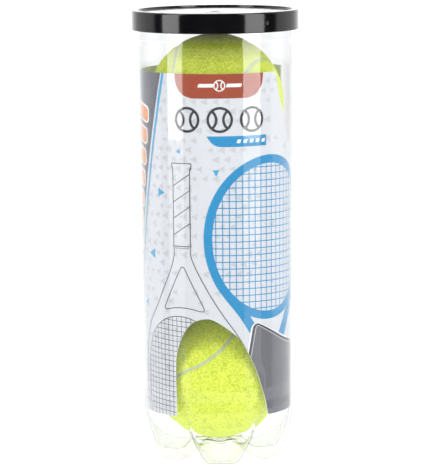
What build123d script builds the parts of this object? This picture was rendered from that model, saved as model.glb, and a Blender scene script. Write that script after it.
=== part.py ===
from build123d import *
import os
from math import atan2, cos, degrees, radians, sin, sqrt

"""A clear plastic can with a press-on lid, holding three tennis balls behind a rolled printed card.

+Z runs up the can's axis, the origin is on the surface that the can stands on, and -Y points out of the
middle of the card's printed side. Lengths are in millimetres and angles in degrees. An azimuth is
measured from -Y towards +X.

The can is one blow-moulded shell: a tube that narrows a little downwards, a narrower neck, a lip for
the lid, and a base with six hollow feet between six grooves. The card is one sheet, rolled against the
inside of the tube, with an arched window in its lower edge and one corner cut off. Each ball is two
half-shells of rubber, two dumbbell-shaped pieces of felt, and a rubber seam in the gap between them.
"""

# Tube, neck and lip of the can
WALL = 0.6
TUBE_LOW_R = 36.4
TUBE_LOW_Z = 31.0
TUBE_HIGH_R = 37.6
TUBE_HIGH_Z = 202.0
NECK_R = 37.1
NECK_LOW_Z = 204.5
NECK_BEND_R = 1.2
LIP_R = 38.8
LIP_THICK = 1.2
LIP_EDGE_R = 0.4
MOUTH_Z = 217.4

# Base of the can
FLOOR_Z = 7.0
FLOOR_R = 11.0
FOOT_COUNT = 6
FOOT_TURN = 3.0
FOOT_INNER_R = 19.0
FOOT_OUTER_R = 30.4
FOOT_EDGE_R = 1.6
FOOT_BULGE_R = 34.7
FOOT_BULGE_Z = 10.6
GROOVE_BEND_R = 20.0
GROOVE_FADE = 0.15
GROOVE_HALF_WIDTH = 1.9
GROOVE_EDGE_R = 1.3
GROOVE_FLARE = 0.6
GROOVE_REACH = 30.0
GATE_R = 2.2
GATE_DROP = 1.0

# How far each corner of the base moves sideways or up for each millimetre that the wall is thick
FLOOR_SHIFT = 0.4
FOOT_INNER_SHIFT = 0.6
FOOT_OUTER_SHIFT = 0.6
FOOT_BULGE_SHIFT = 0.85
FOOT_BULGE_RISE = 0.5

# Lid
LID_R = 40.6
LID_TOP_Z = 218.7
LID_HEIGHT = 9.6
LID_SKIN = 1.2
LID_SKIRT_IN_R = 39.5
LID_BEAD_IN_R = 39.1
LID_BEAD_HEIGHT = 1.5
LID_RIM_IN_R = 37.3
LID_RECESS = 1.0
LID_EDGE_R = 0.9
LID_SOFT_R = 0.4

# Rolled card
CARD_THICK = 0.35
CARD_GAP = 0.3
CARD_LOW_Z = 24.0
CARD_HIGH_Z = 190.0
CARD_RIGHT_AZIMUTH = 84.0
CARD_BACK_AZIMUTH = 117.0
CORNER_AZIMUTH = 50.5
CORNER_MIDDLE = (-15.6, 165.0)
CORNER_LOW_Z = 142.0
WINDOW_LEFT_FOOT = (-20.4, 23.0)
WINDOW_LEFT_SIDE = (-20.6, 46.0)
WINDOW_TOP = (-6.4, 72.3)
WINDOW_SHOULDER = (9.8, 63.0)
WINDOW_HIP = (19.3, 44.0)
WINDOW_RIGHT_FOOT = (24.4, 23.0)
WINDOW_START_HEADING = (0, 1)
WINDOW_END_HEADING = (0.2, -1)

# Balls: the gap keeps each ball clear of its neighbour and of the can's floor
BALL_R = 33.1
BALL_GAP = 0.3
CORE_R = 29.8
CORE_WALL = 3.5
SEAM_WIDTH = 2.4
SEAM_SINK = 0.4
LOBE_DROP = 13.5
BALL_TURNS = {
    "low_ball": (-159, -47, -5),
    "middle_ball": (65, 20, 30),
    "top_ball": (-98, 13, -170),
}

PARTS = "parts"


def save(part, name):
    """Labels a finished piece and writes it as one STEP file."""
    part.label = name
    export_step(part, f"{PARTS}/{name}.step")


def tube_radius(z):
    """Outer radius of the tube at height z."""
    rise = (z - TUBE_LOW_Z) / (TUBE_HIGH_Z - TUBE_LOW_Z)
    return TUBE_LOW_R + rise * (TUBE_HIGH_R - TUBE_LOW_R)


def groove_form(inset):
    """The space of one groove between two feet, with the can's surface moved inwards by inset.

    It lies along +X. Its floor runs level from the axis, then bends up to the tube in a quarter turn,
    and its sides lean apart by the flare.
    """
    bend_x = TUBE_LOW_R + GROOVE_FADE - GROOVE_BEND_R
    bend_z = FLOOR_Z + GROOVE_BEND_R
    top = bend_z - (GROOVE_BEND_R - inset)
    half = GROOVE_HALF_WIDTH + inset * (sqrt(1 + GROOVE_FLARE**2) - GROOVE_FLARE)
    bottom = top - GROOVE_REACH
    half_bottom = half + GROOVE_FLARE * GROOVE_REACH
    with BuildPart() as groove:
        with BuildSketch(Plane.YZ.offset(bend_x)) as section:
            with BuildLine():
                Polyline((-half, top), (half, top), (half_bottom, bottom), (-half_bottom, bottom), close=True)
            make_face()
            fillet(section.vertices().group_by(Axis.Y)[-1], GROOVE_EDGE_R)
        extrude(section.sketch, amount=-bend_x)
        revolve(section.sketch, axis=Axis((bend_x, 0, bend_z), (0, -1, 0)), revolution_arc=90)
    return groove.part


def can_form(inset, top_z):
    """The can as a solid up to top_z, with its surface moved inwards by inset."""
    groove = groove_form(inset)
    shoulder = (TUBE_LOW_R - inset, TUBE_LOW_Z)
    toe = (FOOT_OUTER_R - inset * FOOT_OUTER_SHIFT, inset)
    bulge = (FOOT_BULGE_R - inset * FOOT_BULGE_SHIFT, FOOT_BULGE_Z + inset * FOOT_BULGE_RISE)
    with BuildPart() as form:
        with BuildSketch(Plane.XZ) as profile:
            with BuildLine():
                Polyline(
                    shoulder,
                    (TUBE_HIGH_R - inset, TUBE_HIGH_Z),
                    (NECK_R - inset, NECK_LOW_Z),
                    (NECK_R - inset, top_z),
                    (0, top_z),
                    (0, FLOOR_Z + inset),
                    (FLOOR_R + inset * FLOOR_SHIFT, FLOOR_Z + inset),
                    (FOOT_INNER_R + inset * FOOT_INNER_SHIFT, inset),
                    toe,
                )
                ThreePointArc(toe, bulge, shoulder)
            make_face()
            fillet(profile.vertices().group_by(Axis.Y)[0], FOOT_EDGE_R)
            neck = profile.vertices().filter_by_position(Axis.Y, TUBE_HIGH_Z, NECK_LOW_Z)
            fillet(neck.filter_by_position(Axis.X, TUBE_LOW_R, TUBE_HIGH_R), NECK_BEND_R)
        revolve(axis=Axis.Z)
        with PolarLocations(0, FOOT_COUNT, start_angle=FOOT_TURN - 90 + 180 / FOOT_COUNT):
            add(groove, mode=Mode.SUBTRACT)
    return form.part


def make_can():
    """The clear shell: tube, neck, lip and footed base, with the gate mark under its middle."""
    outside = can_form(0, MOUTH_Z)
    inside = can_form(WALL, MOUTH_Z + WALL)
    with BuildPart() as can_body:
        add(outside)
        with Locations((0, 0, FLOOR_Z)):
            Cylinder(GATE_R, 2 * GATE_DROP)
        add(inside, mode=Mode.SUBTRACT)
        with BuildSketch(Plane.XZ) as lip:
            with Locations((NECK_R - WALL, MOUTH_Z)):
                Rectangle(LIP_R - NECK_R + WALL, LIP_THICK, align=(Align.MIN, Align.MAX))
            fillet(lip.vertices().group_by(Axis.X)[-1], LIP_EDGE_R)
        revolve(axis=Axis.Z)
    save(can_body.part, "can_body")


def make_lid():
    """The press-on lid: a raised rim round a sunk disc, and a skirt with a bead inside its lower edge."""
    bottom = LID_TOP_Z - LID_HEIGHT
    disc_top = LID_TOP_Z - LID_RECESS
    with BuildPart() as lid:
        with BuildSketch(Plane.XZ) as profile:
            with BuildLine():
                Polyline(
                    (0, disc_top),
                    (LID_RIM_IN_R, disc_top),
                    (LID_RIM_IN_R + LID_RECESS / 2, LID_TOP_Z),
                    (LID_R, LID_TOP_Z),
                    (LID_R, bottom),
                    (LID_BEAD_IN_R, bottom),
                    (LID_BEAD_IN_R, bottom + LID_BEAD_HEIGHT),
                    (LID_SKIRT_IN_R, bottom + LID_BEAD_HEIGHT + LID_SOFT_R),
                    (LID_SKIRT_IN_R, LID_TOP_Z - LID_SKIN),
                    (LID_RIM_IN_R - LID_SKIN, LID_TOP_Z - LID_SKIN),
                    (LID_RIM_IN_R - LID_SKIN, disc_top - LID_SKIN),
                    (0, disc_top - LID_SKIN),
                    close=True,
                )
            make_face()
            fillet(profile.vertices().group_by(Axis.X)[-1].sort_by(Axis.Y)[-1], LID_EDGE_R)
            fillet(profile.vertices().group_by(Axis.X)[-1].sort_by(Axis.Y)[0], LID_SOFT_R)
        revolve(axis=Axis.Z)
    save(lid.part, "lid")


def make_card():
    """The rolled card: most of a turn against the tube's inside, with its window and its cut corner."""
    low_r = tube_radius(CARD_LOW_Z) - WALL - CARD_GAP
    high_r = tube_radius(CARD_HIGH_Z) - WALL - CARD_GAP
    outwards = Vector(sin(radians(CARD_BACK_AZIMUTH)), -cos(radians(CARD_BACK_AZIMUTH)), 0)
    start = Plane(origin=(0, 0, 0), x_dir=outwards, z_dir=outwards.cross(Vector(0, 0, 1)))
    sweep = 360 - CARD_BACK_AZIMUTH + CARD_RIGHT_AZIMUTH
    corner_y = -high_r * cos(radians(CORNER_AZIMUTH))
    edge_y = -high_r * cos(radians(CARD_RIGHT_AZIMUTH))
    with BuildPart() as printed_card:
        with BuildSketch(start):
            with BuildLine():
                Polyline(
                    (low_r, CARD_LOW_Z),
                    (high_r, CARD_HIGH_Z),
                    (high_r - CARD_THICK, CARD_HIGH_Z),
                    (low_r - CARD_THICK, CARD_LOW_Z),
                    close=True,
                )
            make_face()
        revolve(axis=Axis.Z, revolution_arc=sweep)
        with BuildSketch(Plane.XZ):
            with BuildLine():
                Line(WINDOW_LEFT_FOOT, WINDOW_LEFT_SIDE)
                Spline(
                    WINDOW_LEFT_SIDE,
                    WINDOW_TOP,
                    WINDOW_SHOULDER,
                    WINDOW_HIP,
                    WINDOW_RIGHT_FOOT,
                    tangents=[WINDOW_START_HEADING, WINDOW_END_HEADING],
                )
                Line(WINDOW_RIGHT_FOOT, WINDOW_LEFT_FOOT)
            make_face()
        extrude(amount=TUBE_HIGH_R, mode=Mode.SUBTRACT)
        with BuildSketch(Plane.YZ):
            with BuildLine():
                ThreePointArc((corner_y, CARD_HIGH_Z), CORNER_MIDDLE, (edge_y, CORNER_LOW_Z))
                Polyline((edge_y, CORNER_LOW_Z), (0, CORNER_LOW_Z), (0, CARD_HIGH_Z), (corner_y, CARD_HIGH_Z))
            make_face()
        extrude(amount=TUBE_HIGH_R, mode=Mode.SUBTRACT)
    save(printed_card.part, "printed_card")


def seam_form(inner_r, outer_r):
    """The band along a ball's seam between two radii, round a ball at the origin.

    The seam is four equal arcs of circles, one round the end of each lobe of the felt. Each pair of
    neighbouring arcs touches halfway between its two lobes.
    """
    drop = radians(LOBE_DROP)
    side, sink = cos(drop), sin(drop)
    start_rise = degrees(atan2(1, sink))
    arc = 360 - 2 * start_rise
    ends = [
        (Vector(side, 0, -sink), Vector(1, -1, 0)),
        (Vector(-side, 0, -sink), Vector(-1, 1, 0)),
        (Vector(0, side, sink), Vector(-1, 1, 0)),
        (Vector(0, -side, sink), Vector(1, -1, 0)),
    ]
    with BuildPart() as band:
        for pole, meeting in ends:
            with BuildSketch(Plane(origin=(0, 0, 0), x_dir=meeting, z_dir=pole.cross(meeting))) as section:
                with Locations((inner_r, 0)):
                    Rectangle(outer_r - inner_r, SEAM_WIDTH, align=(Align.MIN, Align.CENTER))
            revolve(section.sketch, axis=Axis((0, 0, 0), pole), revolution_arc=arc)
    return band.part


def make_balls():
    """Three equal balls, each of two core halves, two felts and a seam, stacked on the can's floor."""
    cutter = seam_form(CORE_R / 2, BALL_R + SEAM_WIDTH)
    with BuildPart() as core:
        Sphere(CORE_R)
        Sphere(CORE_R - CORE_WALL, mode=Mode.SUBTRACT)
        split(bisect_by=Plane.XY, keep=Keep.BOTH)
    with BuildPart() as felt:
        Sphere(BALL_R)
        Sphere(CORE_R, mode=Mode.SUBTRACT)
        add(cutter, mode=Mode.SUBTRACT)
    pieces = {"seam": seam_form(CORE_R, BALL_R - SEAM_SINK)}
    for mark, half in zip("ab", core.solids().sort_by(Axis.Z)):
        pieces[f"core_{mark}"] = half
    for mark, half in zip("ab", felt.solids().sort_by(Axis.Z)):
        pieces[f"felt_{mark}"] = half
    pitch = 2 * BALL_R + BALL_GAP
    low_z = FLOOR_Z + WALL + BALL_GAP + BALL_R
    for level, (ball, turns) in enumerate(BALL_TURNS.items()):
        for piece, shape in pieces.items():
            with BuildPart() as placed:
                with Locations(Location((0, 0, low_z + level * pitch), turns)):
                    add(shape)
            save(placed.part, f"{ball}_{piece}")


os.makedirs(PARTS, exist_ok=True)
make_can()
make_lid()
make_card()
make_balls()
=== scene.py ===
from math import asin, atan2, cos, inf, pi, radians, sin, sqrt, tan

import bmesh
import bpy
import numpy as np
from mathutils import Matrix, Vector, noise
from mathutils.geometry import delaunay_2d_cdt


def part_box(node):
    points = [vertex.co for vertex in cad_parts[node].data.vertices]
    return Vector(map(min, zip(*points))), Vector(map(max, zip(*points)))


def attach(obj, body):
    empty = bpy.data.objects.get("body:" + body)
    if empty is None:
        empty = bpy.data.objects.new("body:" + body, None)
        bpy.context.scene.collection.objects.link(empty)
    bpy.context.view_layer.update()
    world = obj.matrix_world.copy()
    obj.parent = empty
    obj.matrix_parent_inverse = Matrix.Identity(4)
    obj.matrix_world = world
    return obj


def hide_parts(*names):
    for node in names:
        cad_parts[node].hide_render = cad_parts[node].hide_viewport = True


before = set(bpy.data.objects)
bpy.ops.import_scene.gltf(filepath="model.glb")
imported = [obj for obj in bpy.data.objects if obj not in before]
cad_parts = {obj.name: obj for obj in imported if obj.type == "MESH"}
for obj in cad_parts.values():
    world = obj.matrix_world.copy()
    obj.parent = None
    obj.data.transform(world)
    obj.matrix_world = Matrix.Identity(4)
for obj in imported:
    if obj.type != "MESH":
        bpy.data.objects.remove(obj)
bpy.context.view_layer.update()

# The looks of a clear can of three tennis balls. Sizes are in millimetres until a mesh is made, and an
# azimuth runs from -Y, the middle of the card's printed side, towards +X.

MM = 0.001

# The can, as the frame has it
WALL = 0.6
TUBE_LOW_R = 36.4
TUBE_LOW_Z = 31.0
TUBE_HIGH_R = 37.6
TUBE_HIGH_Z = 202.0
NECK_R = 37.1
NECK_LOW_Z = 204.5
LIP_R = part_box("can_body")[1][0] / MM
LIP_THICK = 1.2
MOUTH_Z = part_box("can_body")[1][2] / MM
FLOOR_Z = 7.0
FLOOR_R = 11.0
FOOT_COUNT = 6
FOOT_TURN = 3.0
FOOT_INNER_R = 19.0
FOOT_SIDE = ((30.4, 0.0), (34.7, 10.6), (36.4, 31.0))
GROOVE_BEND_R = 20.0
GROOVE_FADE = 0.15
GROOVE_HALF_WIDTH = 1.9
GROOVE_FLARE = 0.6
GATE_R = 2.2
GATE_DROP = 1.0
# How wide the base's corners are rounded: foot to side, groove to its walls, and groove to foot
FOOT_SOFT = 1.6
GROOVE_SOFT = 1.2
GROOVE_EDGE_SOFT = 2.0
FLOOR_SLOPE_SHARE = 0.75

# The lid
LID_LOW_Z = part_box("lid")[0][2] / MM
LID_TOP_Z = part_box("lid")[1][2] / MM
LID_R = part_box("lid")[1][0] / MM
LID_SKIN = 1.2
LID_SKIRT_IN_R = 39.5
LID_BEAD_IN_R = 39.1
LID_RIM_IN_R = 37.3
LID_RECESS = 1.0

# The card: U runs along the sheet from the middle of its front, one radian to CARD_R
CARD_R = 35.9
CARD_THICK = 0.35
CARD_GAP = 0.3
CARD_LOW_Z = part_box("printed_card")[0][2] / MM
CARD_HIGH_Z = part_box("printed_card")[1][2] / MM
CARD_RIGHT_U = radians(84) * CARD_R
CARD_LEFT_U = -radians(360 - 117) * CARD_R
INK_STEP = 0.025
INK_THICK = INK_STEP * 0.6

# The balls
FELT_R = 33.1
CORE_R = 29.8
SEAM_WIDTH = 2.4
LOBE_DROP = 13.5
COVER_LAP = 0.45
CURL_DEPTH = 0.28
CURL_WIDTH = 1.1
FIBRE_COUNT = 3500
BALL_TURNS = {"low_ball": (-159, -47, -5), "middle_ball": (65, 20, 30), "top_ball": (-98, 13, -170)}

SEED = 7
CORNER_STEPS = 6


# --- Meshes ---


def make_object(name, verts, faces, material, sharp=35):
    """A smooth-shaded object from points in millimetres, with edges over the sharp angle kept crisp."""
    mesh = bpy.data.meshes.new(name)
    mesh.from_pydata([tuple(c * MM for c in v) for v in verts], [], faces)
    mesh.validate()
    mesh.shade_smooth()
    mesh.set_sharp_from_angle(angle=radians(sharp))
    obj = bpy.data.objects.new(name, mesh)
    bpy.context.scene.collection.objects.link(obj)
    mesh.materials.append(material)
    return obj


def rounded(corners):
    """A path through (x, y, radius) corners, with each corner of some radius turned into an arc."""
    path = []
    for i, (x, y, radius) in enumerate(corners):
        here = Vector((x, y))
        if not radius:
            path.append((x, y))
            continue
        before = (Vector(corners[i - 1][:2]) - here).normalized()
        after = (Vector(corners[(i + 1) % len(corners)][:2]) - here).normalized()
        half = before.angle(after) / 2
        centre = here + (before + after).normalized() * radius / sin(half)
        first = here + before * radius / tan(half) - centre
        last = here + after * radius / tan(half) - centre
        for k in range(CORNER_STEPS + 1):
            blend = k / CORNER_STEPS
            spoke = (first * (1 - blend) + last * blend).normalized() * radius
            path.append(tuple(centre + spoke))
    return path


def ring_faces(rings, count, closed=False):
    """Faces between rings of count points each; closed joins the last ring to the first."""
    faces = []
    for i in range(rings if closed else rings - 1):
        low, high = i * count, (i + 1) % rings * count
        for k in range(count):
            nxt = (k + 1) % count
            faces.append((low + k, low + nxt, high + nxt, high + k))
    return faces


def ring_grid(name, rings, material, closed, sharp=35):
    """A skin over rings of points that all have the same count."""
    verts = [tuple(p) for ring in rings for p in ring]
    return make_object(name, verts, ring_faces(len(rings), len(rings[0]), closed), material, sharp)


def rim_edges(triangles):
    """The edges that only one triangle has, each in that triangle's own direction."""
    rim = {}
    for a, b, c in triangles:
        for edge in ((a, b), (b, c), (c, a)):
            if edge[::-1] in rim:
                del rim[edge[::-1]]
            else:
                rim[edge] = True
    return list(rim)


def smooth_max(a, b, soft):
    """The larger of two fields, with a rounded change-over about soft wide."""
    share = np.clip(0.5 + 0.5 * (a - b) / soft, 0, 1)
    return b + (a - b) * share + soft * share * (1 - share)


def smooth_min(a, b, soft):
    return -smooth_max(-a, -b, soft)


# --- Materials ---


class Shader:
    """A material with one Principled shader, and short ways to add nodes to it."""

    def __init__(self, name, color=(0.5, 0.5, 0.5), roughness=0.5, **sockets):
        self.material = bpy.data.materials.new(name)
        self.material.use_nodes = True
        self.tree = self.material.node_tree
        self.bsdf = self.tree.nodes["Principled BSDF"]
        self.bsdf.inputs["Base Color"].default_value = (*color, 1)
        self.bsdf.inputs["Roughness"].default_value = roughness
        for socket, value in sockets.items():
            self.bsdf.inputs[socket.replace("_", " ")].default_value = value
        self.color = color
        self.place = self.node("ShaderNodeTexCoord").outputs["Object"]

    def node(self, kind, **settings):
        node = self.tree.nodes.new(kind)
        for key, value in settings.items():
            setattr(node, key, value)
        return node

    def link(self, source, target):
        self.tree.links.new(source, target)
        return target

    def noise(self, size, detail=3.0, stretch=(1, 1, 1)):
        """Noise whose lumps are about size millimetres across, stretched along the axes."""
        mapping = self.node("ShaderNodeMapping")
        mapping.inputs["Scale"].default_value = [1 / s for s in stretch]
        self.link(self.place, mapping.inputs["Vector"])
        texture = self.node("ShaderNodeTexNoise")
        texture.inputs["Scale"].default_value = 1 / (size * MM)
        texture.inputs["Detail"].default_value = detail
        self.link(mapping.outputs["Vector"], texture.inputs["Vector"])
        return texture.outputs["Fac"]

    def ramp(self, value, stops):
        ramp = self.node("ShaderNodeValToRGB")
        ramp.color_ramp.elements[0].position = stops[0][0]
        ramp.color_ramp.elements[0].color = (*stops[0][1], 1)
        ramp.color_ramp.elements[1].position = stops[-1][0]
        ramp.color_ramp.elements[1].color = (*stops[-1][1], 1)
        for position, color in stops[1:-1]:
            ramp.color_ramp.elements.new(position).color = (*color, 1)
        self.link(value, ramp.inputs["Fac"])
        return ramp.outputs["Color"]

    def vary_color(self, value, spread, lean=(1, 1, 1)):
        """Lets the base colour wander by the spread, following a field from 0 to 1."""
        low = [c * (1 - spread * t) for c, t in zip(self.color, lean)]
        high = [min(c * (1 + spread * t), 1) for c, t in zip(self.color, lean)]
        self.link(self.ramp(value, [(0.3, low), (0.7, high)]), self.bsdf.inputs["Base Color"])
        return self

    def vary_roughness(self, value, low, high):
        spread = self.node("ShaderNodeMapRange")
        spread.inputs["To Min"].default_value = low
        spread.inputs["To Max"].default_value = high
        self.link(value, spread.inputs["Value"])
        self.link(spread.outputs["Result"], self.bsdf.inputs["Roughness"])
        return self

    def bump(self, value, depth, strength=1.0):
        """Adds relief about depth millimetres high, over any relief that is already there."""
        bump = self.node("ShaderNodeBump")
        bump.inputs["Strength"].default_value = strength
        bump.inputs["Distance"].default_value = depth * MM
        self.link(value, bump.inputs["Height"])
        normal = self.bsdf.inputs["Normal"]
        if normal.is_linked:
            self.link(normal.links[0].from_socket, bump.inputs["Normal"])
        self.link(bump.outputs["Normal"], normal)
        return self


def clear_plastic():
    """Clear blown plastic: glass to the eye, darker at its edges, and see-through to lamps and soft light."""
    shader = Shader("clear_plastic")
    shader.bump(shader.noise(9, 1.0, (1, 1, 3)), 0.04, 0.3)
    tree, normal = shader.tree, shader.bsdf.inputs["Normal"].links[0].from_socket
    tree.nodes.remove(shader.bsdf)
    glass = shader.node("ShaderNodeBsdfGlass")
    glass.inputs["Roughness"].default_value = 0.02
    glass.inputs["IOR"].default_value = 1.45
    through = shader.node("ShaderNodeBsdfTransparent")
    through.inputs["Color"].default_value = (0.97, 0.98, 0.98, 1)
    path = shader.node("ShaderNodeLightPath")
    soft = shader.node("ShaderNodeMath", operation="MAXIMUM")
    mix = shader.node("ShaderNodeMixShader")
    edge = shader.node("ShaderNodeLayerWeight")
    edge.inputs["Blend"].default_value = 0.5
    stops = [(0.0, (0.978, 0.980, 0.982)), (0.5, (0.96, 0.962, 0.966)),
             (0.8, (0.89, 0.895, 0.90)), (1.0, (0.62, 0.65, 0.66))]
    shader.link(normal, glass.inputs["Normal"])
    shader.link(normal, edge.inputs["Normal"])
    shader.link(shader.ramp(edge.outputs["Facing"], stops), glass.inputs["Color"])
    shader.link(path.outputs["Is Shadow Ray"], soft.inputs[0])
    shader.link(path.outputs["Is Diffuse Ray"], soft.inputs[1])
    shader.link(soft.outputs["Value"], mix.inputs["Fac"])
    shader.link(glass.outputs["BSDF"], mix.inputs[1])
    shader.link(through.outputs["BSDF"], mix.inputs[2])
    shader.link(mix.outputs["Shader"], tree.nodes["Material Output"].inputs["Surface"])
    return shader.material


def lid_plastic():
    """Black injection-moulded plastic: glossy, with faint flow marks and fine scuffs."""
    shader = Shader("lid_plastic", (0.004, 0.004, 0.005), 0.1)
    shader.vary_color(shader.noise(14, 2.0), 0.25)
    shader.vary_roughness(shader.noise(2.5, 6.0, (1, 1, 0.3)), 0.06, 0.15)
    shader.bump(shader.noise(6, 2.0), 0.02, 0.5)
    shader.bump(shader.noise(0.35, 2.0), 0.004, 0.5)
    return shader.material


def card_board():
    """White coated board: the card's back and its cut edges."""
    shader = Shader("card_board", (0.72, 0.73, 0.74), 0.6)
    shader.vary_color(shader.noise(0.8, 4.0), 0.05)
    shader.bump(shader.noise(0.25, 3.0), 0.01, 0.5)
    return shader.material


def printed_ink(name, color, spread=0.04):
    """A flat printed colour under a thin gloss varnish, with the slight mottle of offset print."""
    shader = Shader(name, color, 0.38, Specular_IOR_Level=0.25)
    shader.vary_color(shader.noise(0.6, 4.0), spread)
    shader.vary_roughness(shader.noise(5, 3.0), 0.3, 0.46)
    shader.bump(shader.noise(0.4, 2.0), 0.003, 0.4)
    return shader.material


def felt_cloth():
    """Optic-yellow needled felt: a soft nap and small tangled lumps, whose colour is painted darker in the low
    spots of its relief and lighter on its high spots, as painted shade and light in the nap over a random tone.
    """
    shader = Shader("felt", (0.66, 0.79, 0.05), 0.95, Sheen_Weight=0.2, Sheen_Roughness=0.6)
    shader.bsdf.inputs["Sheen Tint"].default_value = (0.95, 1.0, 0.55, 1)
    # The fine relief of the nap; its low spots also carry the painted shade below
    roots = shader.noise(0.8, 6.0)
    mottle = shader.noise(4.0, 3.0)
    mix = shader.node("ShaderNodeMix", data_type="FLOAT")
    mix.inputs["Factor"].default_value = 0.22
    shader.link(roots, mix.inputs["A"])
    shader.link(mottle, mix.inputs["B"])
    # The same noise that sets the relief sets the colour, so its low spots are darker and its high spots lighter:
    # painted shade and light in the nap
    stops = [(0.33, (0.40, 0.52, 0.014)), (0.5, (0.67, 0.78, 0.040)), (0.67, (0.90, 0.96, 0.11))]
    shader.link(shader.ramp(mix.outputs["Result"], stops), shader.bsdf.inputs["Base Color"])
    shader.bump(mottle, 0.2, 0.4)
    shader.bump(roots, 0.3, 0.8)
    return shader.material


def felt_nap():
    """The loose fibres that stand off the felt."""
    shader = Shader("felt_nap", (0.86, 0.93, 0.16), 0.9, Sheen_Weight=0.3)
    shader.vary_color(shader.noise(2.0, 2.0), 0.15)
    return shader.material


def plain_rubber(name, color, grain):
    """Moulded or cured rubber: dull, with a fine even grain."""
    shader = Shader(name, color, 0.7)
    shader.vary_color(shader.noise(3.0, 4.0), 0.08)
    shader.vary_roughness(shader.noise(1.5, 3.0), 0.6, 0.8)
    shader.bump(shader.noise(grain, 3.0), 0.05, 0.5)
    return shader.material


# --- The can ---


def tube_radius(z):
    return TUBE_LOW_R + (z - TUBE_LOW_Z) / (TUBE_HIGH_Z - TUBE_LOW_Z) * (TUBE_HIGH_R - TUBE_LOW_R)


def circle_through(a, b, c):
    """Centre and radius of the circle through three (x, y) points."""
    m = np.array([[b[0] - a[0], b[1] - a[1]], [c[0] - a[0], c[1] - a[1]]])
    v = np.array([p[0] ** 2 + p[1] ** 2 - a[0] ** 2 - a[1] ** 2 for p in (b, c)])
    centre = np.linalg.solve(m, v / 2)
    return centre, float(np.hypot(*(centre - np.array(a))))


def base_field(p):
    """Below zero inside the can's outer form and above zero outside it, for an array of points."""
    r, z = np.hypot(p[:, 0], p[:, 1]), p[:, 2]
    centre, arc_r = circle_through(*FOOT_SIDE)
    side = np.where(z < TUBE_LOW_Z, np.hypot(r - centre[0], z - centre[1]) - arc_r, r - tube_radius(z))
    slope = (r - FLOOR_R) / (FOOT_INNER_R - FLOOR_R)
    low = np.where(r < GATE_R, FLOOR_Z - GATE_DROP, FLOOR_Z * (1 - np.clip(slope, 0, 1)))
    sloping = (slope > 0) & (slope < 1)
    body = smooth_max(side, (low - z) * np.where(sloping, FLOOR_SLOPE_SHARE, 1.0), FOOT_SOFT)
    azimuth = np.degrees(np.arctan2(p[:, 0], -p[:, 1]))
    pitch = 360 / FOOT_COUNT
    off = np.radians((azimuth - FOOT_TURN) % pitch - pitch / 2)
    x, y = r * np.cos(off), r * np.sin(off)
    bend_x, bend_z = TUBE_LOW_R + GROOVE_FADE - GROOVE_BEND_R, FLOOR_Z + GROOVE_BEND_R
    bend = np.hypot(x - bend_x, z - bend_z) - GROOVE_BEND_R
    depth = np.where(x < bend_x, FLOOR_Z - z, np.where(z > bend_z, x - bend_x - GROOVE_BEND_R, bend))
    half = GROOVE_HALF_WIDTH + GROOVE_FLARE * np.maximum(depth, 0)
    groove = smooth_min(depth, (half - np.abs(y)) / sqrt(1 + GROOVE_FLARE**2), GROOVE_SOFT)
    return smooth_max(body, groove, GROOVE_EDGE_SOFT)


def base_rings(columns, rows, eye_z):
    """Rings of points over the footed base, found along rays from a point on the axis at eye_z."""
    shortest, longest, halvings = 5.0, 60.0, 30
    turn = np.arange(columns) * 2 * pi / columns
    rings = []
    eye = np.array([0, 0, eye_z])
    for row in range(1, rows + 1):
        tip = pi / 2 * row / rows
        rays = np.stack([np.sin(turn) * sin(tip), -np.cos(turn) * sin(tip), -np.full(columns, cos(tip))], 1)
        near, far = np.full(columns, shortest), np.full(columns, longest)
        for _ in range(halvings):
            middle = (near + far) / 2
            outside = base_field(eye + rays * middle[:, None]) > 0
            near, far = np.where(outside, near, middle), np.where(outside, middle, far)
        rings.append(eye + rays * near[:, None])
    return rings


def base_inside(ring):
    """The same ring moved in by the wall, square to the surface."""
    step = 0.05
    normal = np.stack([base_field(ring + axis * step) - base_field(ring - axis * step) for axis in np.eye(3)], 1)
    return ring - normal / np.linalg.norm(normal, axis=1, keepdims=True) * WALL


def build_can(material):
    """One closed shell: out from the gate mark, up the base and tube, over the lip and back down."""
    columns, rows, eye_z = 240, 96, 40.0
    turn = np.arange(columns) * 2 * pi / columns
    outside = base_rings(columns, rows, eye_z)
    inside = [base_inside(ring) for ring in outside]

    def level(r, z):
        return np.stack([np.sin(turn) * r, -np.cos(turn) * r, np.full(columns, z)], 1)

    shoulder_z = TUBE_HIGH_Z - 5
    tube = [(tube_radius(z), z) for z in np.linspace(eye_z + 8, shoulder_z - 1, 20)]
    neck = rounded([
        (tube_radius(shoulder_z), shoulder_z, 0),
        (TUBE_HIGH_R, TUBE_HIGH_Z, 1.2),
        (NECK_R, NECK_LOW_Z, 1.2),
        (NECK_R, MOUTH_Z - LIP_THICK, 0.3),
        (LIP_R, MOUTH_Z - LIP_THICK, 0.4),
        (LIP_R, MOUTH_Z, 0.4),
        (NECK_R - WALL, MOUTH_Z, 0.25),
        (NECK_R - WALL, NECK_LOW_Z, 1.8),
        (TUBE_HIGH_R - WALL, TUBE_HIGH_Z, 0.6),
        (tube_radius(shoulder_z) - WALL, shoulder_z, 0),
    ])
    tube_in = [(r - WALL, z) for r, z in reversed(tube)]
    rings = outside + [level(r, z) for r, z in tube + neck + tube_in] + inside[::-1]
    verts = [tuple(p) for ring in rings for p in ring]
    tip, last = len(verts), len(verts) - columns
    verts += [(0, 0, FLOOR_Z - GATE_DROP), (0, 0, FLOOR_Z - GATE_DROP + WALL)]
    faces = ring_faces(len(rings), columns)
    for k in range(columns):
        nxt = (k + 1) % columns
        faces.append((tip, nxt, k))
        faces.append((tip + 1, last + k, last + nxt))
    can = make_object("can_shell", verts, faces, material, 60)
    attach(can, "can")
    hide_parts("can_body")


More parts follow.
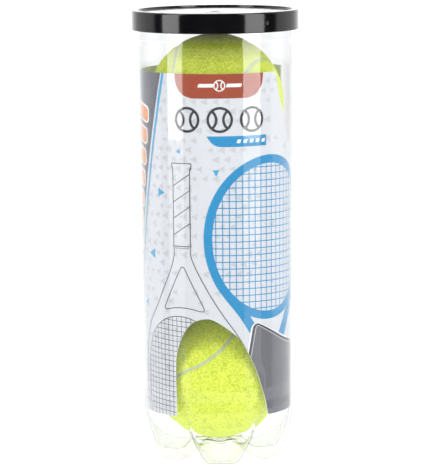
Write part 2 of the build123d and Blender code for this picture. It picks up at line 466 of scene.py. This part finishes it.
def build_lid(material):
    """The lid: raised rim, sunk disc with a faint ring and a gate dimple, and a skirt with a snap bead."""
    disc_z = LID_TOP_Z - LID_RECESS
    under_z = LID_TOP_Z - LID_SKIN
    hub_r, dimple_z, ring_z = 0.9, disc_z - 0.25, disc_z + 0.18
    corners = [
        (hub_r, dimple_z, 0),
        (1.6, dimple_z, 0.2),
        (2.1, disc_z, 0.3),
        (26.0, disc_z, 0.3),
        (26.4, ring_z, 0.2),
        (27.4, ring_z, 0.2),
        (27.8, disc_z, 0.3),
        (LID_RIM_IN_R, disc_z, 0.35),
        (LID_RIM_IN_R + 0.5, LID_TOP_Z, 0.35),
        (LID_R, LID_TOP_Z, 0.9),
        (LID_R, LID_LOW_Z, 0.35),
        (LID_BEAD_IN_R, LID_LOW_Z, 0.15),
        (LID_BEAD_IN_R, LID_LOW_Z + 1.5, 0.3),
        (LID_SKIRT_IN_R, LID_LOW_Z + 1.9, 0.3),
        (LID_SKIRT_IN_R, under_z, 0.3),
        (LID_RIM_IN_R - LID_SKIN, under_z, 0.2),
        (LID_RIM_IN_R - LID_SKIN, disc_z - LID_SKIN, 0.3),
        (hub_r, disc_z - LID_SKIN, 0),
    ]
    profile = rounded(corners)[::-1]
    segments = 192
    angles = [2 * pi * k / segments for k in range(segments)]
    verts = [(r * cos(a), r * sin(a), z) for r, z in profile for a in angles]
    faces = ring_faces(len(profile), segments)
    faces.append(tuple(range(segments))[::-1])
    faces.append(tuple(range(len(verts) - segments, len(verts))))
    lid = make_object("lid_moulding", verts, faces, material, 40)
    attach(lid, "lid")
    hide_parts("lid")


def build_gate_mark(material):
    """The small oval pip with a dimple that the mould's gate leaves on the lid's side."""
    azimuth, height, half_wide, half_tall = radians(37), LID_LOW_Z + 4.7, 0.95, 1.4
    # Each ring's share of the full size, and how far it stands off the lid
    profile = ((0.02, 0.02), (0.35, 0.05), (0.6, 0.26), (0.85, 0.26), (1.0, 0.0), (1.0, -0.3), (0.02, -0.3))
    segments = 32
    rings = []
    for share, rise in profile:
        ring = []
        for k in range(segments):
            turn = 2 * pi * k / segments
            side, r = half_wide * share * cos(turn) / LID_R, LID_R + rise
            up = half_tall * share * sin(turn)
            ring.append((r * sin(azimuth + side), -r * cos(azimuth + side), height + up))
        rings.append(ring)
    mark = ring_grid("lid_gate_mark", rings, material, True, 50)
    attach(mark, "lid")


# --- The card and its print ---


def card_radius(z):
    return tube_radius(z) - WALL - CARD_GAP


def curve(points, steps=8, closed=False):
    """A smooth path through the points."""
    count = len(points)
    path = []
    for i in range(count if closed else count - 1):
        if closed:
            a, b, c, d = (Vector(points[(i + k) % count]) for k in (-1, 0, 1, 2))
        else:
            a, b, c, d = (Vector(points[min(max(i + k, 0), count - 1)]) for k in (-1, 0, 1, 2))
        for k in range(steps):
            t = k / steps
            path.append(tuple(((2 * b) + (c - a) * t + (2 * a - 5 * b + 4 * c - d) * t**2
                               + (3 * b - a - 3 * c + d) * t**3) / 2))
    if not closed:
        path.append(tuple(points[-1]))
    return path


def arc_points(centre, radii, start, end, steps=48):
    """Points along an ellipse's arc; angles in degrees, anticlockwise from +U."""
    angles = [radians(start + (end - start) * k / steps) for k in range(steps + 1)]
    return [(centre[0] + radii[0] * cos(a), centre[1] + radii[1] * sin(a)) for a in angles]


def stroke(path, width, closed=False):
    """The outline of a line of some width along a path: one loop if open, one quad a step if closed."""
    points = [Vector(p) for p in path]
    count = len(points)
    sides = []
    for i, here in enumerate(points):
        before = points[i - 1] if i or closed else here
        after = points[(i + 1) % count] if i < count - 1 or closed else here
        along = (after - before).normalized()
        sides.append(Vector((-along.y, along.x)) * width / 2)
    left = [tuple(p + s) for p, s in zip(points, sides)]
    right = [tuple(p - s) for p, s in zip(points, sides)]
    last = count if closed else count - 1
    return [[left[i], left[(i + 1) % count], right[(i + 1) % count], right[i]] for i in range(last)]


def mirror_back(path, centre_u):
    return [(2 * centre_u - u, z) for u, z in reversed(path)]


def holds(loop, points):
    """Which of the points lie inside the loop."""
    inside = np.zeros(len(points), bool)
    x, y = points[:, 0], points[:, 1]
    for (ax, ay), (bx, by) in zip(loop, list(loop[1:]) + [loop[0]]):
        if ay == by:
            continue
        spans = (ay > y) != (by > y)
        inside ^= spans & (x < (bx - ax) * (y - ay) / (by - ay) + ax)
    return inside


class Sheet:
    """Flat artwork in (U, Z), cut to the card's outline, then bent round it as a thin closed layer."""

    STRIP = 2.0

    def __init__(self, outline, holes):
        self.outline = outline
        self.holes = holes

    def layer(self, name, add, depth, thick, material, cut=()):
        """Joins the added loops, takes off the cut ones, and bends the rest to the card's radius."""
        bars = [list(loop) for loop in (*self.holes, *cut)]
        points, edges = [], []
        for loop in [list(self.outline)] + bars + [list(a) for a in add]:
            start, count = len(points), len(loop)
            edges += [(start + k, start + (k + 1) % count) for k in range(count)]
            points += [Vector(p) for p in loop]
        low_u, high_u = (pick(p[0] for loop in add for p in loop) for pick in (min, max))
        line = self.STRIP * (low_u // self.STRIP + 1)
        while line < high_u:
            edges.append((len(points), len(points) + 1))
            points += [Vector((line, CARD_LOW_Z - 5)), Vector((line, CARD_HIGH_Z + 5))]
            line += self.STRIP
        verts, _, tris, _, _, _ = delaunay_2d_cdt(points, edges, [], 0, 1e-5, False)
        centres = np.array([sum((verts[v] for v in tri), Vector((0, 0))) / 3 for tri in tris])
        inked, barred = (np.any([holds(loop, centres) for loop in loops], axis=0) for loops in (add, bars))
        kept = inked & ~barred & holds(self.outline, centres)
        keep = [tri for tri, wanted in zip(tris, kept) if wanted]
        return self.bend(name, verts, keep, depth, thick, material)

    def bend(self, name, verts, tris, depth, thick, material):
        """A closed layer on the card's body, from triangles in (U, Z)."""
        used = sorted({v for tri in tris for v in tri})
        index = {v: i for i, v in enumerate(used)}
        count = len(used)
        solid = []
        for lift in (depth + thick, depth):
            for v in used:
                azimuth = verts[v].x / CARD_R
                r = card_radius(verts[v].y) + lift
                solid.append((r * sin(azimuth), -r * cos(azimuth), verts[v].y))
        tris = [tuple(index[v] for v in tri) for tri in tris]
        faces = []
        for a, b, c in tris:
            faces.append((a, b, c))
            faces.append((c + count, b + count, a + count))
        for a, b in sorted(rim_edges(tris)):
            faces.append((b, a, a + count, b + count))
        obj = make_object(name, solid, faces, material, 30)
        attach(obj, "can")
        return obj


def front_u(x, r=CARD_R):
    """Distance along the card of a point that is x to the right of the axis, seen from the front."""
    return asin(x / r) * r


def card_window():
    """The arched window over the low ball, open at the card's lower edge."""
    left = [(front_u(-20.4), CARD_LOW_Z - 1), (front_u(-20.5), 34.0)]
    arch = [(-20.6, 46.0), (-20.1, 54.0), (-17.2, 63.5), (-12.6, 69.8), (-6.4, 72.3), (-0.5, 70.9),
            (9.8, 63.0), (15.5, 53.4), (19.3, 44.0), (22.6, 32.6), (24.4, CARD_LOW_Z - 1)]
    return left + curve([(front_u(x), z) for x, z in arch], 6)


def card_outline():
    """The sheet laid flat, with its curved cut at the top right."""
    corner = curve([(CARD_RIGHT_U, 142.0), (47.4, 152.5), (39.3, 167.0), (34.9, 178.5), (31.7, CARD_HIGH_Z)], 6)
    return [(CARD_LEFT_U, CARD_HIGH_Z), (CARD_LEFT_U, CARD_LOW_Z), (CARD_RIGHT_U, CARD_LOW_Z)] + corner


def grid_lines(ellipse, pitch, width, clip_high=inf, lean=0.0):
    """A racket's strings: level and upright lines across an ellipse, each one cut to it."""
    (cu, cz), (ru, rz) = ellipse
    lines = []
    steps = int(max(ru, rz) / pitch) + 1
    for k in range(-steps, steps + 1):
        off = (k + 0.5) * pitch
        if abs(off) < ru:
            reach = rz * sqrt(1 - (off / ru) ** 2)
            lines += stroke([(cu + off, cz - reach), (cu + off, cz + reach)], width)
        if abs(off) < rz:
            reach = ru * sqrt(1 - (off / rz) ** 2)
            left, right = cu - reach, min(cu + reach, clip_high)
            if left < right:
                lines += stroke([(u, cz + off - lean * (u - cu)) for u in (left, right)], width)
    return lines


def triangle(centre, size, heading):
    """A small triangle that points along the heading, in degrees anticlockwise from +U."""
    tips = [(size * 0.62, heading), (size * 0.58, heading + 125), (size * 0.58, heading - 125)]
    return [(centre[0] + d * cos(radians(a)), centre[1] + d * sin(radians(a))) for d, a in tips]


def ball_mark(centre, radius, width):
    """A plain tennis-ball sign: a ring with the two curves of a seam."""
    cu, cz = centre
    ring = stroke(arc_points(centre, (radius, radius), 0, 360, 40)[:-1], width, True)
    bend, half = radius * 0.95, 47
    for side in (-1, 1):
        middle = (cu + side * radius * 1.25, cz)
        start = 180 - half if side > 0 else -half
        ring += stroke(arc_points(middle, (bend, bend), start, start + 2 * half, 12), width)
    return ring


def build_card(board):
    """The rolled card and everything that is printed on it, in layers from the board outwards."""
    random = np.random.default_rng(SEED)
    window = card_window()
    sheet = Sheet(card_outline(), [window])
    everywhere = [(CARD_LEFT_U - 2, CARD_LOW_Z - 2), (CARD_RIGHT_U + 2, CARD_LOW_Z - 2),
                  (CARD_RIGHT_U + 2, CARD_HIGH_Z + 2), (CARD_LEFT_U - 2, CARD_HIGH_Z + 2)]
    card = sheet.layer("card_sheet", [everywhere], -CARD_THICK, CARD_THICK, board)
    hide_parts("printed_card")

    inks = {
        "ground": printed_ink("ink_pale_grey", (0.635, 0.645, 0.68)),
        "tone": printed_ink("ink_tone", (0.53, 0.545, 0.575)),
        "red": printed_ink("ink_red", (0.31, 0.045, 0.012)),
        "blue": printed_ink("ink_blue", (0.003, 0.24, 0.50)),
        "sky": printed_ink("ink_sky", (0.05, 0.34, 0.60)),
        "white": printed_ink("ink_white", (0.80, 0.81, 0.82)),
        "slate": printed_ink("ink_slate", (0.085, 0.088, 0.108)),
        "graphite": printed_ink("ink_graphite", (0.118, 0.116, 0.138)),
        "orange": printed_ink("ink_orange", (0.72, 0.24, 0.045)),
        "line": printed_ink("ink_line", (0.09, 0.095, 0.11)),
        "black": printed_ink("ink_black", (0.02, 0.02, 0.025)),
    }

    def ink(key, name, level, add, cut=()):
        sheet.layer(name, add, INK_STEP * level, INK_THICK, inks[key], cut)

    ink("ground", "print_ground", 1, [everywhere])

    # Faint triangles in staggered rows over the pale ground, thinning out downwards and to the right
    tones = []
    across, down = 5.3, 4.6
    for row in range(34):
        z = CARD_HIGH_Z - 4 - row * down
        for column in range(-10, 10):
            u = column * across + (row % 2) * across / 2
            thin = 0.12 + 0.5 * (row / 26) + 0.35 * max(u, 0) / 30
            if random.random() > thin:
                tones.append(triangle((u, z), random.uniform(2.9, 4.1), 180))
    ink("tone", "print_tone", 2, tones, [slate_panel()])

    build_front_art(ink)
    build_side_art(ink)


def slate_panel():
    """The dark field that starts at a slanted edge left of the front and runs on round the back."""
    top, lean = -28.4, 0.247
    foot = top - lean * (CARD_HIGH_Z - CARD_LOW_Z)
    return [(CARD_LEFT_U - 1, CARD_HIGH_Z + 1), (CARD_LEFT_U - 1, CARD_LOW_Z - 1),
            (foot, CARD_LOW_Z - 1), (top, CARD_HIGH_Z + 1)]


def build_front_art(ink):
    """The print on the card's front: tab, ball signs, bar, two rackets and a bag."""
    # The rounded tab that hangs from the top edge, with a ball sign between two bars
    tab = [(-20.2, CARD_HIGH_Z + 1)] + curve([(-20.2, 190.0), (-19.4, 184.8), (-16.6, 180.4), (-11.8, 178.4)], 5)
    tab += mirror_back(tab, 1.7)
    ink("red", "print_tab", 3, [tab])
    bars = [[(u, 183.7), (u + 7.2, 183.7), (u + 7.8, 185.4), (u + 0.6, 185.4)] for u in (-8.6, 4.6)]
    ink("white", "print_tab_sign", 5, ball_mark((1.6, 184.5), 2.5, 0.55) + bars)

    # A row of three ball signs, one for each ball in the can, over a slanted bar
    marks = []
    for u in (-14.0, 1.7, 17.4):
        marks += ball_mark((u, 168.2), 5.6, 1.25)
    ink("black", "print_ball_row", 3, marks)
    bar = [(25.4, 160.4), (-4.6, 160.4)]
    bar += curve([(-4.6, 160.4), (-2.3, 157.2), (0.2, 155.6), (3.2, 155.2)], 4) + [(25.4, 155.2)]
    ink("blue", "print_bar", 3, [bar])
    tick = ((9.5, 157.0), (11.3, 157.0), (11.9, 158.7), (10.1, 158.7))
    ticks = [[(u + 3.2 * k, z) for u, z in tick] for k in range(5)]
    ink("white", "print_bar_ticks", 5, ticks)

    # Scattered small triangles
    scattered = [((-0.2, 143.1), 3.4, 270), ((-29.8, 132.6), 4.6, 0), ((-36.4, 102.4), 5.2, 180),
                 ((-18.6, 152.8), 2.4, 180), ((-43.4, 77.6), 4.0, 180)]
    ink("sky", "print_triangles", 3, [triangle(*item) for item in scattered])

    # The large racket: hoop, strings, throat and a piece of its shaft, cut off by the card's edge
    head, hoop, strings = (27.0, 110.8), (33.4, 39.8), (29.3, 35.8)
    ring = arc_points(head, hoop, 0, 360, 96)[:-1]
    bed = arc_points(head, strings, 0, 360, 96)[:-1]
    bag = bag_outline()
    arms = stroke(curve([(-1.1, 94.8), (1.8, 88.6), (6.8, 81.7), (12.6, 74.2), (20.0, 62.6)], 5), 4.6)
    arms += stroke(curve([(54.0, 88.0), (47.0, 78.0), (41.0, 69.5), (34.0, 58.0)], 5), 5.2)
    ink("blue", "print_racket", 4, [ring] + arms, [bed, bag])
    ink("blue", "print_strings", 3, grid_lines((head, (29.6, 36.1)), 3.25, 0.46, lean=0.02))

    # The line-drawn racket: grip with its wrap, throat, and strings that run off the lower edge
    lines = grip_lines() + throat_lines()
    ink("line", "print_line_racket", 4, lines, [slate_panel()])
    net_edge = ((-19.5, 42.0), (22.5, 31.2))
    net = grid_lines(net_edge, 2.5, 0.32, clip_high=12, lean=0.05)
    ink("line", "print_line_strings", 3, net, [slate_panel(), bag])

    # The bag: a slate shape with a dark rim and a white line inside it
    ink("graphite", "print_bag", 5, [bag])
    ink("white", "print_bag_halo", 4.5, stroke(bag_edge(-0.4), 0.9))
    ink("tone", "print_bag_line", 6, stroke(bag_edge(1.5), 0.35))
    ink("black", "print_bag_rim", 6, stroke(bag_edge(0.5), 1.0))


def grip_lines():
    """The line-drawn racket's grip: its flared end, its sides and the turns of its wrap."""
    left, right, top, foot = -21.8, -12.8, 147.2, 107.2
    left_side = [(left - 0.7, top), (left - 0.5, top - 2.6), (left, top - 5.0), (left, foot)]
    right_side = [(right + 0.6, top), (right + 0.5, top - 3.0), (right - 0.1, top - 5.2), (right - 0.1, foot)]
    lines = stroke([(left - 0.7, top), (right + 0.6, top)], 0.45)
    lines += stroke(curve(left_side, 5), 0.4)
    lines += stroke(curve(right_side, 5), 0.5)
    for z in (142.2, 134.4, 126.6, 118.6):
        lines += stroke([(left, z - 6.0), (right, z)], 0.42)
    lines += stroke([(left - 0.5, foot), (right + 0.5, foot)], 0.45)
    lines += stroke([(left - 0.3, foot - 0.9), (right + 0.3, foot - 0.9)], 0.3)
    return lines


def throat_lines():
    """The line-drawn racket's outline, the opening in its throat and the inside of its hoop."""
    left = [(-21.6, 106.3), (-21.8, 102.2), (-24.0, 95.4), (-28.4, 86.4), (-33.6, 77.0), (-39.4, 68.6),
            (-42.6, 60.6), (-44.4, 50.0), (-44.6, 40.0), (-43.6, 31.0), (-42.0, CARD_LOW_Z - 1)]
    right = [(-12.9, 106.3), (-12.8, 102.8), (-11.4, 98.8), (-7.9, 91.8), (-2.8, 82.6), (3.2, 73.2),
             (8.6, 65.6), (13.4, 58.0), (16.4, 52.4)]
    lines = stroke(curve(left, 6), 0.42) + stroke(curve(right, 6), 0.42)
    hole = [(-18.3, 96.4), (-17.3, 97.0), (-16.2, 96.4), (-12.2, 88.6), (-6.9, 78.2), (-6.5, 76.6), (-7.7, 75.9),
            (-12.4, 76.9), (-17.2, 77.4), (-22.2, 77.1), (-26.2, 76.2), (-27.5, 76.8), (-27.3, 78.2),
            (-22.2, 88.6)]
    lines += stroke(curve(hole, 5, True), 0.42, True)
    rim = [(-10.2, 70.8), (-14.0, 72.4), (-19.2, 73.1), (-25.0, 72.2), (-30.4, 69.6), (-35.6, 65.2), (-39.0, 59.4),
           (-41.2, 51.0), (-41.8, 42.0), (-41.2, 33.0), (-40.0, CARD_LOW_Z - 1)]
    return lines + stroke(curve(rim, 6), 0.42)


def bag_edge(inset):
    """The bag's left side, rounded corner and sloping top, moved in by inset."""
    return rounded([(14.0 + inset, 49.0, 0), (18.0 + inset, 70.4 - inset, 2.6 - inset),
                    (38.0, 60.6 - inset * 1.1, 40), (CARD_RIGHT_U + 1, 56.2 - inset, 0)])


def bag_outline():
    return bag_edge(0) + [(CARD_RIGHT_U + 1, CARD_LOW_Z - 1), (20.0, CARD_LOW_Z - 1)]


def build_side_art(ink):
    """The print round the left side and the back: dark field, orange blocks and a plain panel."""
    # The dark field, with a blue line along its slanted edge
    ink("slate", "print_side_field", 3, [slate_panel()])
    top, lean = -26.9, 0.226
    foot = top - lean * (CARD_HIGH_Z - CARD_LOW_Z)
    edge = stroke([(top, CARD_HIGH_Z + 1), (foot, CARD_LOW_Z - 1)], 1.4)
    ink("sky", "print_side_line", 5, edge, [slate_panel()])

    # A column of slanted orange blocks with a white edge
    def block(k, grow):
        """The outline of block k from the top, made larger all round by grow."""
        z = 171.0 - 10.4 * k
        u = -47.6 - 1.7 * k
        wide, tall, skew = 8.6 + grow, 3.4 + grow, 2.2
        return rounded([(u - wide, z - tall + skew, 1.6 + grow), (u + wide, z - tall - skew, 1.6 + grow),
                        (u + wide, z + tall - skew, 1.6 + grow), (u - wide, z + tall + skew, 1.6 + grow)])

    rows = range(12)
    ink("white", "print_block_edges", 5, [block(k, 0.9) for k in rows])
    ink("orange", "print_blocks", 6, [block(k, 0) for k in rows])

    # Round the back: a pale panel with the three-ball sign, a large ball sign and a row of triangles
    back_u = -112.0
    panel = rounded([(back_u - 26, 40, 4), (back_u + 26, 40, 4), (back_u + 26, 92, 4), (back_u - 26, 92, 4)])
    ink("ground", "print_back_panel", 4, [panel])
    marks = []
    for k in (-1, 0, 1):
        marks += ball_mark((back_u + 15.0 * k, 76), 5.4, 1.1)
    for z in (62, 57, 52, 47):
        marks.append([(back_u - 20, z), (back_u + 20, z), (back_u + 20, z + 1.2), (back_u - 20, z + 1.2)])
    ink("slate", "print_back_marks", 5, marks)
    ink("orange", "print_back_ball", 5, ball_mark((back_u, 140), 22.0, 3.0))
    ink("sky", "print_back_triangles", 5, [triangle((back_u + 9.0 * k, 104), 4.4, 90) for k in range(-2, 3)])


# --- The balls ---


class Seam:
    """The curve between a ball's two felts: four equal arcs, one round the end of each lobe."""

    def __init__(self):
        side, sink = cos(radians(LOBE_DROP)), sin(radians(LOBE_DROP))
        self.poles = np.array([[side, 0, -sink], [-side, 0, -sink], [0, side, sink], [0, -side, sink]])
        self.waists = np.array([[0, 0, 1.0], [0, 0, 1.0], [0, 0, -1.0], [0, 0, -1.0]])
        self.owner = np.array([1, 1, -1, -1])
        self.radius = np.arccos(-sink * sink) / 2
        self.open_half = atan2(1, sink)

    def side(self, p):
        """Angle from the seam of each unit point, above zero on the first felt, and its nearest pole."""
        best, pick = np.full(len(p), 9.0), np.zeros(len(p), int)
        for i, (pole, waist) in enumerate(zip(self.poles, self.waists)):
            up = waist - (waist @ pole) * pole
            up /= np.linalg.norm(up)
            across = np.cross(pole, up)
            angle = np.arccos(np.clip(p @ pole, -1, 1))
            turn = np.abs(np.arctan2(p @ across, p @ up))
            miss = np.abs(angle - self.radius) + np.where(turn < self.open_half, 2.0, 0.0)
            pick = np.where(miss < best, i, pick)
            best = np.minimum(best, miss)
        angle = np.arccos(np.clip(np.sum(p * self.poles[pick], 1), -1, 1))
        return (self.radius - angle) * self.owner[pick], pick

    def onto(self, p, pick, edge, sign):
        """The point beside each one at the felt's edge, an angle of edge off the seam."""
        pole = self.poles[pick]
        across = p - np.sum(p * pole, 1, keepdims=True) * pole
        across /= np.linalg.norm(across, axis=1, keepdims=True)
        angle = (self.radius - sign * self.owner[pick] * edge)[:, None]
        return pole * np.cos(angle) + across * np.sin(angle)


def sphere_mesh(subdivisions):
    grid = bmesh.new()
    bmesh.ops.create_icosphere(grid, subdivisions=subdivisions, radius=1)
    verts = np.array([v.co[:] for v in grid.verts])
    faces = np.array([[v.index for v in f.verts] for f in grid.faces])
    grid.free()
    return verts / np.linalg.norm(verts, axis=1, keepdims=True), faces


def felt_panel(seam, sphere, sign, seed):
    """One dumbbell of felt round the origin: points and faces of a closed shell that curls in at its edge."""
    unit, faces = sphere
    away, pick = seam.side(unit)
    edge = (SEAM_WIDTH / 2 - COVER_LAP) / FELT_R
    gap = away * sign - edge
    faces = faces[(gap[faces] > 0).any(axis=1)]
    snapped = seam.onto(unit, pick, edge, sign)
    unit = np.where((gap < 0)[:, None], snapped, unit)
    gap = np.maximum(gap, 0) * FELT_R
    used = np.unique(faces)
    index = np.full(len(unit), -1)
    index[used] = np.arange(len(used))
    unit, gap, faces = unit[used], gap[used], index[faces]
    curl = CURL_DEPTH * np.clip(1 - gap / CURL_WIDTH, 0, 1) ** 2
    lumps = np.array([noise.noise(Vector(p) * 9 + Vector((seed, 0, 0))) for p in unit])
    fine = np.array([noise.noise(Vector(p) * 34 + Vector((0, seed, 0))) for p in unit])
    outer = unit * (FELT_R - 0.08 + 0.07 * lumps + 0.06 * fine - curl)[:, None]
    inner = unit * (CORE_R + 0.05)
    count = len(unit)
    solid = [tuple(f) for f in faces] + [tuple(f[::-1] + count) for f in faces]
    solid += [(b, a, a + count, b + count) for a, b in rim_edges(faces)]
    return np.vstack([outer, inner]), solid, unit, gap


def nap_fibres(unit, gap, count, random):
    """Loose curved fibres that lean over the felt: points and faces of thin tapering blades."""
    roots = unit[random.choice(np.flatnonzero(gap > 0.6), count)]
    verts, faces = [], []
    for root in roots:
        up = Vector(root + random.normal(0, 0.02, 3)).normalized()
        lean = up.cross(Vector(random.normal(0, 1, 3))).normalized()
        across = up.cross(lean) * random.uniform(0.035, 0.06)
        length, height = random.uniform(0.9, 2.2), random.uniform(0.15, 0.5)
        start = len(verts)
        for t, wide in ((0, 1.0), (0.45, 0.8), (1.0, 0.15)):
            rise = FELT_R - 0.15 + height * sin(pi * min(t, 0.75) / 1.2)
            point = up * rise + lean * length * t
            verts += [point - across * wide, point + across * wide]
        faces += [(start, start + 1, start + 3, start + 2), (start + 2, start + 3, start + 5, start + 4)]
    return verts, faces


def build_balls(felt, nap):
    """Each ball's two felts and its loose nap; the seam and the core keep their own shapes."""
    seam, sphere = Seam(), sphere_mesh(6)
    random = np.random.default_rng(SEED)
    for ball, turns in BALL_TURNS.items():
        spin = Matrix.Identity(3)
        for angle, axis in zip(turns, "XYZ"):
            spin = spin @ Matrix.Rotation(radians(angle), 3, axis)
        spin = np.array(spin)
        boxes = [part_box(f"{ball}_core_{mark}") for mark in "ab"]
        low = np.min([b[0] for b in boxes], axis=0)
        high = np.max([b[1] for b in boxes], axis=0)
        centre = (low + high) / 2 / MM
        side = first_felt_side(spin, ball)
        for mark, sign in (("a", side), ("b", -side)):
            points, faces, unit, gap = felt_panel(seam, sphere, sign, ord(mark) + centre[2])
            panel = make_object(f"{ball}_felt_cover_{mark}", points @ spin.T + centre, faces, felt, 60)
            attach(panel, ball)
            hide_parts(f"{ball}_felt_{mark}")
            points, faces = nap_fibres(unit, gap, FIBRE_COUNT, random)
            fuzz = make_object(f"{ball}_nap_{mark}", np.array(points) @ spin.T + centre, faces, nap, 180)
            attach(fuzz, ball)


def first_felt_side(spin, ball):
    """1 where the frame's felt a is the one round the first pair of lobes, otherwise -1."""
    low, high = (np.array(corner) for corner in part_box(f"{ball}_felt_a"))
    other_low, other_high = (np.array(corner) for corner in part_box(f"{ball}_felt_b"))
    lean = (low + high - other_low - other_high) / 2
    waist = spin @ np.array([0, 0, 1.0])
    return 1 if lean @ waist > 0 else -1


# --- The studio ---


def build_world():
    """White to the camera. In reflections it is dim on the camera's side and bright behind the can."""
    world = bpy.data.worlds.new("studio")
    bpy.context.scene.world = world
    world.use_nodes = True
    tree = world.node_tree
    background = tree.nodes["Background"]
    background.inputs["Color"].default_value = (1, 1, 1, 1)
    coords = tree.nodes.new("ShaderNodeTexCoord")
    split = tree.nodes.new("ShaderNodeSeparateXYZ")
    path = tree.nodes.new("ShaderNodeLightPath")
    tree.links.new(coords.outputs["Generated"], split.inputs["Vector"])

    def rise(start, end, low, high):
        """Goes from low to high as the direction's Y goes from start to end."""
        spread = tree.nodes.new("ShaderNodeMapRange")
        for socket, value in (("From Min", start), ("From Max", end), ("To Min", low), ("To Max", high)):
            spread.inputs[socket].default_value = value
        tree.links.new(split.outputs["Y"], spread.inputs["Value"])
        return spread.outputs["Result"]

    def combine(operation, first, second):
        step = tree.nodes.new("ShaderNodeMath")
        step.operation = operation
        tree.links.new(first, step.inputs[0])
        tree.links.new(second, step.inputs[1])
        return step.outputs["Value"]

    mirrored = combine("MULTIPLY", rise(0.7, 1.0, 0.0, 0.8), path.outputs["Is Glossy Ray"])
    around = combine("ADD", rise(-0.02, 0.1, 0.015, 1.0), mirrored)
    seen = combine("MAXIMUM", path.outputs["Is Camera Ray"], around)
    tree.links.new(seen, background.inputs["Strength"])


def build_floor():
    """A pale floor that glows a little. Its far part isn't mirrored, so it leaves no line on the tube."""
    shader = Shader("pale_floor", (0.5, 0.5, 0.5), 0.7)
    shader.vary_color(shader.noise(40, 3.0), 0.01)
    shader.bsdf.inputs["Emission Color"].default_value = (1, 1, 1, 1)
    shader.bsdf.inputs["Emission Strength"].default_value = 0.8
    rings = [[(r * sin(radians(a)), r * cos(radians(a)), -0.05) for a in range(0, 360, 5)] for r in (1, 210, 4500)]
    near = ring_grid("floor_near", rings[:2], shader.material, False)
    far = ring_grid("floor_far", rings[1:], shader.material, False)
    far.visible_glossy = False


def area_light(name, wide, tall, glow):
    """A flat lamp, wide by tall in metres, that the camera doesn't see."""
    light = bpy.data.lights.new(name, "AREA")
    light.shape, light.size, light.size_y = "RECTANGLE", wide, tall
    light.energy = glow * pi * wide * tall
    lamp = bpy.data.objects.new(name, light)
    bpy.context.scene.collection.objects.link(lamp)
    lamp.visible_camera = False
    return lamp


def build_lights():
    """Two tall strips for the tube's long highlights, and a broad fill by the camera."""
    # Each strip is bright above its lower edge, and a dim strip carries it on below the floor's level
    away = 0.75
    for side, azimuth, wide in (("left", -62.5, 0.34), ("right", 54.5, 0.38)):
        for part, low, high, glow in (("lit", 0.075, 1.5, 4.6), ("dim", -0.4, 0.075, 1.2)):
            lamp = area_light(f"strip_{side}_{part}", wide, high - low, glow)
            out = Vector((sin(radians(azimuth)), -cos(radians(azimuth)), 0))
            lamp.location = out * away + Vector((0, 0, (low + high) / 2))
            lamp.rotation_euler = (-out).to_track_quat("-Z", "Y").to_euler()

    # The fill isn't mirrored by glossy surfaces
    lamp = area_light("fill", 1.2, 0.7, 2.0)
    lamp.visible_glossy = lamp.visible_transmission = False
    lamp.location = (0, -1.6, 0.36)
    lamp.rotation_euler = (radians(90), 0, 0)


def build_camera():
    """A long lens a little above the lid, as in a product photograph."""
    away, height, tilt, roll = 1.336, 0.2925, 7.886, 0.5
    data = bpy.data.cameras.new("camera")
    data.sensor_width = 36
    data.lens = 209.5
    data.clip_start, data.clip_end = 0.05, 50
    camera = bpy.data.objects.new("camera", data)
    bpy.context.scene.collection.objects.link(camera)
    camera.location = (-0.001, -away, height)
    turn = Matrix.Rotation(radians(90 - tilt), 3, "X") @ Matrix.Rotation(radians(-roll), 3, "Z")
    camera.rotation_euler = turn.to_euler()
    bpy.context.scene.camera = camera
    bpy.context.scene.view_settings.view_transform = "Standard"


def dress_cad_nodes():
    """The seams and cores keep the frame's shapes and get rubber."""
    seam_rubber = plain_rubber("seam_rubber", (0.50, 0.56, 0.36), 0.5)
    core_rubber = plain_rubber("core_rubber", (0.02, 0.02, 0.022), 0.8)
    for node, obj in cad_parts.items():
        for ending, material in (("_seam", seam_rubber), ("_core_a", core_rubber), ("_core_b", core_rubber)):
            if node.endswith(ending):
                for slot in obj.material_slots:
                    slot.material = material


build_camera()
build_world()
build_floor()
build_lights()
build_can(clear_plastic())
black = lid_plastic()
build_lid(black)
build_gate_mark(black)
build_card(card_board())
build_balls(felt_cloth(), felt_nap())
dress_cad_nodes()
